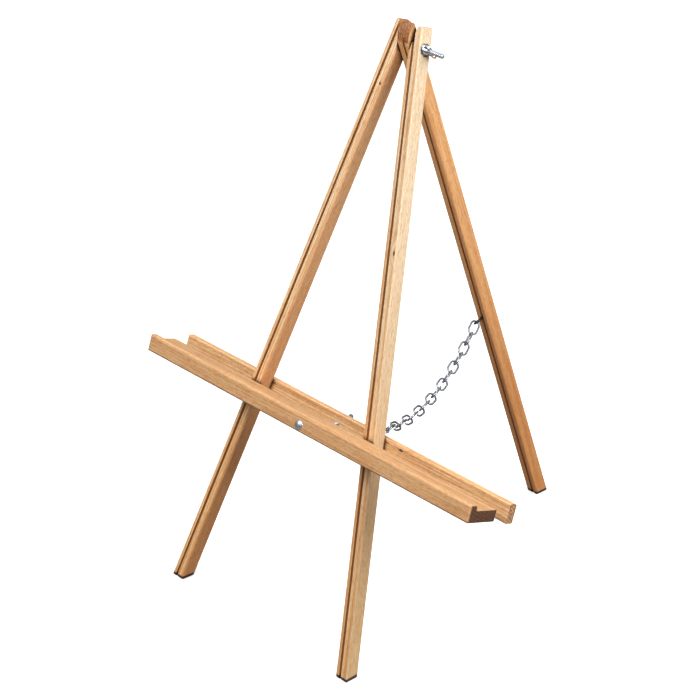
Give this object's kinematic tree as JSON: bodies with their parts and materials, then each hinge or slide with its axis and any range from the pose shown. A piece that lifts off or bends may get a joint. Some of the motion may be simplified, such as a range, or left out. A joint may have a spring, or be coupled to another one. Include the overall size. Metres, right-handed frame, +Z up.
{
  "type": "folding plate display stand",
  "caption": "Folding wooden easel stand: grooved front legs and a chained rear leg on one pivot bolt, with a clamped ledge that slides up and down.",
  "frame": {"origin": "on the floor, under the middle of the stand's bounding box", "axes": "+Z up, +Y to the back where the rear leg stands, +X to the right of someone facing the stand's front"},
  "size_m": [0.492, 0.4328, 0.6206],
  "materials": {
    "front_leg_wood": "satin",
    "rear_leg_wood": "satin",
    "ledge_wood": "satin",
    "hardware": "bright zinc",
    "chain_metal": "bright zinc",
    "hook_black": "black"
  },
  "bodies": {
    "front_frame": {"front_leg_left": "front_leg_wood", "front_leg_right": "front_leg_wood", "pivot_bolt": "hardware", "pivot_washer": "hardware", "chain_eye": "hardware"},
    "rear_support": {"rear_leg": "rear_leg_wood", "chain_hook": "hook_black"},
    "ledge_clamp": {"ledge": "ledge_wood", "back_rail": "ledge_wood", "ledge_bolt": "hardware", "ledge_washer": "hardware"},
    "pivot_nut": {"pivot_wing_nut": "hardware"},
    "ledge_nut": {"ledge_wing_nut": "hardware"},
    "link_1": {"chain_link_1": "chain_metal"},
    "link_2": {"chain_link_2": "chain_metal"},
    "link_3": {"chain_link_3": "chain_metal"},
    "link_4": {"chain_link_4": "chain_metal"},
    "link_5": {"chain_link_5": "chain_metal"},
    "link_6": {"chain_link_6": "chain_metal"},
    "link_7": {"chain_link_7": "chain_metal"},
    "link_8": {"chain_link_8": "chain_metal"}
  },
  "joints": [
    {"name": "rear_leg_fold", "type": "hinge", "parent": "front_frame", "child": "rear_support", "pos_m": [-0.0254, -0.00352, 0.59662], "axis": [-1, 0, 0], "range_deg": [0, 34]},
    {"name": "ledge_slide", "type": "slide", "parent": "front_frame", "child": "ledge_clamp", "axis": [0, 0.3256, 0.9455], "range_m": [-0.15, 0]},
    {"name": "pivot_nut_turn", "type": "hinge", "parent": "front_frame", "child": "pivot_nut", "pos_m": [-0.0254, -0.00352, 0.59662], "axis": [1, 0, 0], "continuous": true},
    {"name": "ledge_nut_turn", "type": "hinge", "parent": "ledge_clamp", "child": "ledge_nut", "pos_m": [0, -0.11321, 0.21663], "axis": [0, -0.9455, 0.3256], "continuous": true},
    {"name": "chain_link_1_turn", "type": "hinge", "parent": "front_frame", "child": "link_1", "pos_m": [0.05979, -0.11035, 0.23362], "axis": [-0.6778, 0.3123, -0.6656], "range_deg": [0, 51.2]},
    {"name": "chain_link_2_turn", "type": "hinge", "parent": "link_1", "child": "link_2", "pos_m": [0.04931, -0.08434, 0.22416], "axis": [-0.8551, -0.3384, -0.3928], "range_deg": [0, 41.8]},
    {"name": "chain_link_3_turn", "type": "hinge", "parent": "link_2", "child": "link_3", "pos_m": [0.0385, -0.05751, 0.21788], "axis": [-0.8144, -0.253, -0.5223], "range_deg": [0, 34]},
    {"name": "chain_link_4_turn", "type": "hinge", "parent": "link_3", "child": "link_4", "pos_m": [0.02748, -0.03018, 0.21505], "axis": [-0.7976, 0.586, -0.1427], "range_deg": [0, 28.4]},
    {"name": "chain_link_5_turn", "type": "hinge", "parent": "link_4", "child": "link_5", "pos_m": [0.01642, -0.00273, 0.21578], "axis": [-0.6061, 0.7659, 0.2145], "range_deg": [0, 26.8]},
    {"name": "chain_link_6_turn", "type": "hinge", "parent": "link_5", "child": "link_6", "pos_m": [0.00547, 0.02444, 0.22004], "axis": [-0.5105, 0.7973, 0.322], "range_deg": [0, 21.5]},
    {"name": "chain_link_7_turn", "type": "hinge", "parent": "link_6", "child": "link_7", "pos_m": [-0.00522, 0.05097, 0.22765], "axis": [-0.4603, 0.8278, 0.3206], "range_deg": [0, 20.9]},
    {"name": "chain_link_8_turn", "type": "hinge", "parent": "link_7", "child": "link_8", "pos_m": [-0.01553, 0.07658, 0.23832], "axis": [-0.4662, 0.803, 0.3712], "range_deg": [0, 18.7]}
  ],
  "couplings": [
    {"joint": "chain_link_1_turn", "follows": "rear_leg_fold", "ratio": 1.4753},
    {"joint": "chain_link_2_turn", "follows": "rear_leg_fold", "ratio": 1.2012},
    {"joint": "chain_link_3_turn", "follows": "rear_leg_fold", "ratio": 0.9701},
    {"joint": "chain_link_4_turn", "follows": "rear_leg_fold", "ratio": 0.8062},
    {"joint": "chain_link_5_turn", "follows": "rear_leg_fold", "ratio": 0.7599},
    {"joint": "chain_link_6_turn", "follows": "rear_leg_fold", "ratio": 0.603},
    {"joint": "chain_link_7_turn", "follows": "rear_leg_fold", "ratio": 0.5854},
    {"joint": "chain_link_8_turn", "follows": "rear_leg_fold", "ratio": 0.5198}
  ]
}
